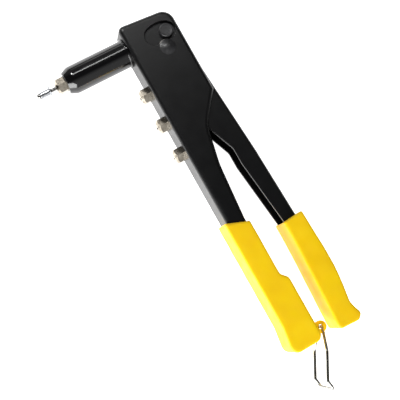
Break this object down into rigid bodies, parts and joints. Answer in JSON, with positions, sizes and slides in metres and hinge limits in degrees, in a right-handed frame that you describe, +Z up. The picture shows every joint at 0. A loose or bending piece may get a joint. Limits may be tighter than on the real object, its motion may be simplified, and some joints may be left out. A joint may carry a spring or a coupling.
{
  "type": "hand riveter",
  "caption": "Lever-operated hand riveter: folded steel body and lever, hex-nozzled nose barrel, moulded grips and a wire handle bail.",
  "frame": {"origin": "centre of the bounding box in X and Y, at the lowest point in Z: the tool lies on its side", "axes": "+Y along the tool towards its head, -X the way the nose points, +Z up through the thickness of the tool"},
  "size_m": [0.1224, 0.2886, 0.0322],
  "materials": {
    "body_paint": "satin black powder coat",
    "lever_paint": "satin black powder coat",
    "barrel_black": "gloss black over machined steel",
    "pin_black": "gloss black",
    "nickel": "nickel plated, warm",
    "grip_yellow": "yellow soft vinyl, matte",
    "bright_wire": "bright plated wire",
    "inner_steel": "turned steel",
    "rivet_aluminium": "bright aluminium",
    "mandrel_steel": "drawn steel"
  },
  "bodies": {
    "frame": {"body_channel": "body_paint", "nose_barrel": "barrel_black", "barrel_adapter": "inner_steel", "nozzle": "nickel", "spare_nozzle_1": "nickel", "spare_nozzle_2": "nickel", "spare_nozzle_3": "nickel", "fulcrum_pin": "pin_black", "fulcrum_washer_near": "inner_steel", "fulcrum_washer_far": "inner_steel", "return_spring": "inner_steel", "fixed_grip": "grip_yellow"},
    "lever": {"lever_channel": "lever_paint", "lever_grip": "grip_yellow", "drive_pin": "pin_black", "drive_bush": "inner_steel", "drive_clip": "inner_steel"},
    "jaw_carriage": {"jaw_case": "inner_steel", "pull_rod": "inner_steel", "lock_nut": "inner_steel", "jaw_spring": "inner_steel"},
    "jaw_pusher_body": {"jaw_pusher": "inner_steel"},
    "jaw_upper_body": {"jaw_upper": "inner_steel"},
    "jaw_lower_body": {"jaw_lower": "inner_steel"},
    "bail_body": {"bail": "bright_wire"},
    "rivet": {"rivet_body": "rivet_aluminium", "rivet_mandrel": "mandrel_steel"}
  },
  "joints": [
    {"name": "lever_pivot", "type": "hinge", "parent": "frame", "child": "lever", "pos_m": [0.03451, 0.11683, 0.0161], "axis": [0, 0, 1], "range_deg": [0, 44], "stiffness_Nm_per_rad": 0.5, "springref_deg": 45.84},
    {"name": "jaw_case_slide", "type": "slide", "parent": "frame", "child": "jaw_carriage", "axis": [-1, 0, 0], "range_m": [0, 0.00907], "deforming": ["return_spring"]},
    {"name": "jaw_pusher_slide", "type": "slide", "parent": "jaw_carriage", "child": "jaw_pusher_body", "axis": [1, 0, 0], "range_m": [0, 0.002], "stiffness_N_per_m": 600, "springref_m": -0.001, "deforming": ["jaw_spring"]},
    {"name": "jaw_upper_slide", "type": "slide", "parent": "jaw_carriage", "child": "jaw_upper_body", "axis": [0.9877, 0.1564, 0], "range_m": [0, 0.00203]},
    {"name": "jaw_lower_slide", "type": "slide", "parent": "jaw_carriage", "child": "jaw_lower_body", "axis": [0.9877, -0.1564, 0], "range_m": [0, 0.00203]},
    {"name": "bail_pivot", "type": "hinge", "parent": "frame", "child": "bail_body", "pos_m": [0.03371, -0.10492, 0.0161], "axis": [0, 0, 1], "range_deg": [-10, 76]},
    {"name": "rivet_slide", "type": "slide", "parent": "frame", "child": "rivet", "axis": [-1, 0, 0], "range_m": [-0.0038, 0.03]}
  ],
  "couplings": [
    {"joint": "jaw_case_slide", "follows": "lever_pivot", "m_per_rad": 0.011805},
    {"joint": "jaw_upper_slide", "follows": "jaw_pusher_slide", "ratio": 1.0125},
    {"joint": "jaw_lower_slide", "follows": "jaw_pusher_slide", "ratio": 1.0125}
  ]
}
